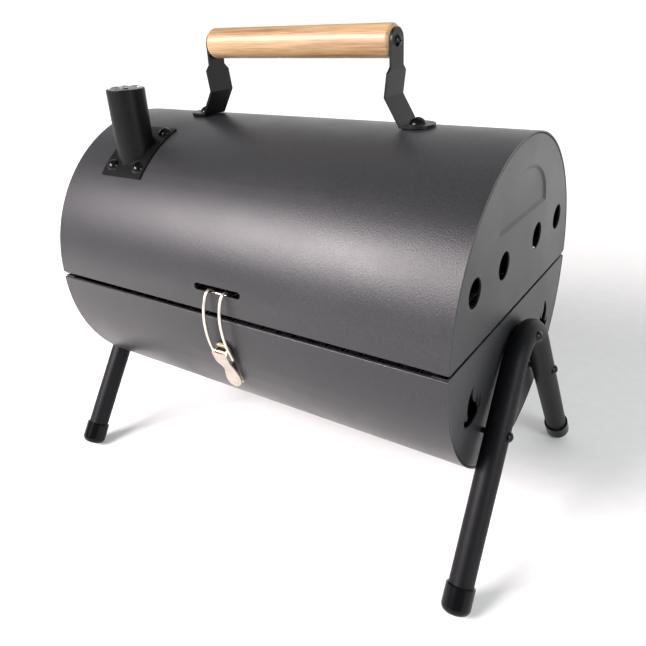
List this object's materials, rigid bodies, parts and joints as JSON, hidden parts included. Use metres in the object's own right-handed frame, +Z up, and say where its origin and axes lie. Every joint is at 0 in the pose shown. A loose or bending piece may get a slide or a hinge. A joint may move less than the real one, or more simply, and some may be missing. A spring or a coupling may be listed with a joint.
{
  "type": "barrel charcoal grill",
  "caption": "Tabletop barrel charcoal grill: half-round base and hinged lid, bent tube legs, draw latch, wooden lid handle, chimney, lift-out grate and charcoal tray.",
  "frame": {"origin": "on the floor, under the middle of the grill's bounding box", "axes": "+X along the barrel, chimney at -X; -Y is the front with the latch; +Z up"},
  "size_m": [0.3632, 0.2308, 0.331],
  "materials": {
    "body_paint": "satin black heat-resistant paint with a fine metallic speckle",
    "leg_paint": "dark textured powder coat",
    "bracket_paint": "semi-gloss black",
    "black_screw": "glossy black plated",
    "zinc_steel": "zinc plated",
    "latch_steel": "nickel plated, bright",
    "grate_chrome": "chrome plated wire",
    "tray_steel": "plain galvanised sheet",
    "grip_wood": "clear satin lacquer",
    "foot_plastic": "glossy"
  },
  "bodies": {
    "base": {"base_shell": "body_paint", "base_end_left": "body_paint", "base_end_right": "body_paint", "leg_left": "leg_paint", "leg_right": "leg_paint", "foot_cap_front_left": "foot_plastic", "foot_cap_front_right": "foot_plastic", "foot_cap_back_left": "foot_plastic", "foot_cap_back_right": "foot_plastic", "leg_screws_left": "black_screw", "leg_screws_right": "black_screw", "leg_nuts_left": "zinc_steel", "leg_nuts_right": "zinc_steel", "hinge_base_leaf_left": "bracket_paint", "hinge_base_leaf_right": "bracket_paint", "hinge_pin_left": "bracket_paint", "hinge_pin_right": "bracket_paint", "hinge_base_rivets": "bracket_paint", "latch_plate": "latch_steel", "latch_rivets": "latch_steel", "latch_pin": "latch_steel", "grate_ledges": "zinc_steel"},
    "lid": {"lid_shell": "body_paint", "lid_end_left": "body_paint", "lid_end_right": "body_paint", "chimney_flange": "bracket_paint", "chimney_pipe": "bracket_paint", "chimney_cap": "zinc_steel", "chimney_screws": "black_screw", "chimney_nuts": "zinc_steel", "handle_bracket_left": "bracket_paint", "handle_bracket_right": "bracket_paint", "handle_grip": "grip_wood", "handle_grip_screws": "black_screw", "handle_foot_screws": "black_screw", "handle_foot_nuts": "zinc_steel", "hinge_lid_leaf_left": "bracket_paint", "hinge_lid_leaf_right": "bracket_paint", "hinge_lid_rivets": "bracket_paint"},
    "latch_lever": {"latch_lever": "latch_steel"},
    "latch_bail": {"latch_bail": "latch_steel"},
    "cooking_grate": {"grate_frame": "grate_chrome", "grate_bars": "grate_chrome", "grate_stays": "grate_chrome", "grate_handle_left": "grate_chrome", "grate_handle_right": "grate_chrome"},
    "charcoal_tray": {"charcoal_tray": "tray_steel"}
  },
  "joints": [
    {"name": "lid_hinge", "type": "hinge", "parent": "base", "child": "lid", "pos_m": [0, 0.1098, 0.165], "axis": [-1, 0, 0], "range_deg": [0, 110]},
    {"name": "latch_lever_hinge", "type": "hinge", "parent": "base", "child": "latch_lever", "pos_m": [0, -0.10703, 0.13955], "axis": [-1, 0, 0], "range_deg": [0, 105]},
    {"name": "latch_bail_hinge", "type": "hinge", "parent": "latch_lever", "child": "latch_bail", "pos_m": [0, -0.10469, 0.13486], "axis": [1, 0, 0], "range_deg": [0, 122]},
    {"name": "grate_lift", "type": "slide", "parent": "base", "child": "cooking_grate", "axis": [0, 0, 1], "range_m": [0, 0.02]},
    {"name": "tray_lift", "type": "slide", "parent": "base", "child": "charcoal_tray", "axis": [0, 0, 1], "range_m": [0, 0.02]}
  ],
  "couplings": [
    {"joint": "latch_bail_hinge", "follows": "latch_lever_hinge", "ratio": 1.15}
  ]
}
